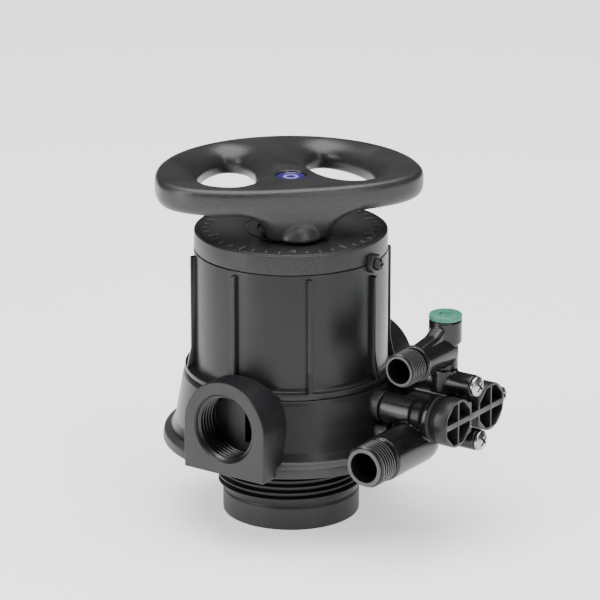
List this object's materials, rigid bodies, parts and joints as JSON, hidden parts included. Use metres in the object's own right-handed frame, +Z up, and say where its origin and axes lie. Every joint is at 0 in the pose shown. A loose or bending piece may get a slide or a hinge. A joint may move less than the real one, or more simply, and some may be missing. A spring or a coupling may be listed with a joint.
{
  "type": "manual control valve for a water-treatment tank",
  "caption": "Manual multi-position control valve for a softener or filter tank: ribbed black body with threaded neck, side ports, ejector assembly and a rotating handwheel.",
  "frame": {"origin": "on the valve's vertical axis, in the bottom face of the base collar", "axes": "+Z up along the valve axis; +X out of the outlet port, -X out of the inlet port; -Y towards the ejector assembly"},
  "size_m": [0.1341, 0.1704, 0.174],
  "materials": {
    "black_plastic": "black glass-filled moulding, satin, glossier on the small tubes, fine grain",
    "wheel_plastic": "dark grey satin moulding with a fine textured grain",
    "rubber": "matt black seal rubber",
    "ceramic": "lapped white ceramic",
    "white_plastic": "natural white engineering plastic",
    "green_plastic": "soft green moulded cap, slightly mottled",
    "badge": "glossy purple-blue printed disc, plain pattern",
    "steel": "bright stainless steel"
  },
  "bodies": {
    "valve": {"valve_body": "black_plastic", "bonnet": "black_plastic", "ejector_body": "black_plastic", "ejector_cover": "black_plastic", "brine_elbow": "black_plastic", "dial_lid": "wheel_plastic", "lid_lock_screw": "wheel_plastic", "tank_o_ring": "rubber", "riser_o_ring": "rubber", "disc_gasket": "rubber", "bonnet_o_ring": "rubber", "ejector_gasket": "rubber", "ejector_inlet_o_ring": "rubber", "ejector_outlet_o_ring": "rubber", "drain_o_ring": "rubber", "brine_o_ring": "rubber", "drain_flow_control": "rubber", "brine_flow_control": "rubber", "fixed_disc": "ceramic", "thrust_washer": "white_plastic", "ejector_nozzle": "white_plastic", "ejector_throat": "white_plastic", "ejector_strainer": "white_plastic", "brine_cap": "green_plastic", "ejector_screw_upper": "steel", "ejector_screw_lower": "steel", "ejector_screw_side": "steel"},
    "rotor": {"handwheel": "wheel_plastic", "handwheel_screw": "steel", "handwheel_washer": "steel", "handwheel_badge": "badge", "drive_shaft": "white_plastic", "moving_disc": "ceramic", "shaft_o_ring_lower": "rubber", "shaft_o_ring_upper": "rubber", "detent_spring": "steel"},
    "ball": {"detent_ball": "steel"}
  },
  "joints": [
    {"name": "handwheel_turn", "type": "hinge", "parent": "valve", "child": "rotor", "pos_m": [0, 0, 0.16], "axis": [0, 0, 1], "continuous": true},
    {"name": "detent_slide", "type": "slide", "parent": "rotor", "child": "ball", "axis": [0, 0, 1], "range_m": [0, 0.001], "stiffness_N_per_m": 500, "springref_m": -0.002, "deforming": ["detent_spring"]}
  ]
}
